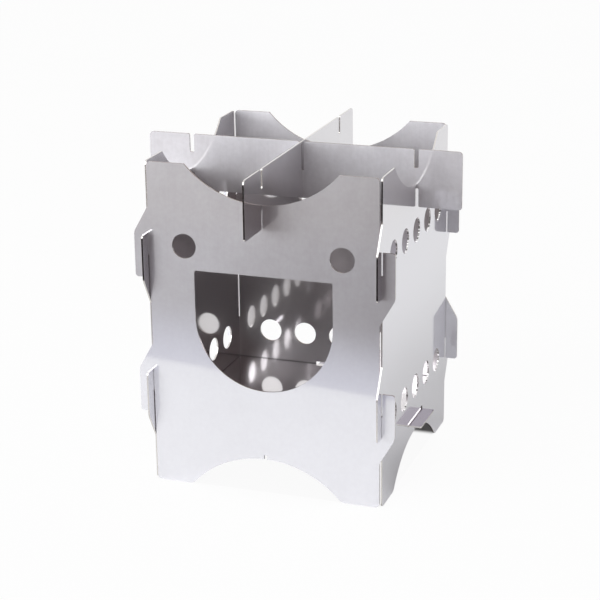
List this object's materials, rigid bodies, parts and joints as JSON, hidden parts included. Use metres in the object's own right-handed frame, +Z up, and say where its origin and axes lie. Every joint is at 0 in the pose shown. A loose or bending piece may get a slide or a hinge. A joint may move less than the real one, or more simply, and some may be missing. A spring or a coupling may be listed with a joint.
{
  "type": "twig stove",
  "caption": "Flat-pack stainless twig stove: a square firebox of hooked sheet panels with a wide fuel mouth, round air holes, and slotted plates crossing on top to carry a pot.",
  "frame": {"origin": "on the ground at the middle of the stove, under the crossing of the pot supports", "axes": "+Z up, towards the pot; the fuel mouth faces -Y; +X to the right as seen from the mouth"},
  "size_m": [0.166, 0.166, 0.1665],
  "materials": {
    "panel_steel": "satin cold-rolled sheet, half mirror, laser-cut edges",
    "floor_steel": "satin cold-rolled sheet, half mirror, laser-cut edges",
    "support_steel": "satin cold-rolled sheet, half mirror, laser-cut edges"
  },
  "bodies": {
    "stove": {"front_panel": "panel_steel", "right_panel": "panel_steel", "back_panel": "panel_steel", "left_panel": "panel_steel", "floor_plate": "floor_steel"},
    "lower_pot_support": {"lower_pot_support": "support_steel"},
    "upper_pot_support": {"upper_pot_support": "support_steel"}
  },
  "joints": [
    {"name": "lower_support_lift", "type": "slide", "parent": "stove", "child": "lower_pot_support", "axis": [0, 0, 1], "range_m": [0, 0.04]},
    {"name": "upper_support_lift", "type": "slide", "parent": "lower_pot_support", "child": "upper_pot_support", "axis": [0, 0, 1], "range_m": [0, 0.04]}
  ]
}
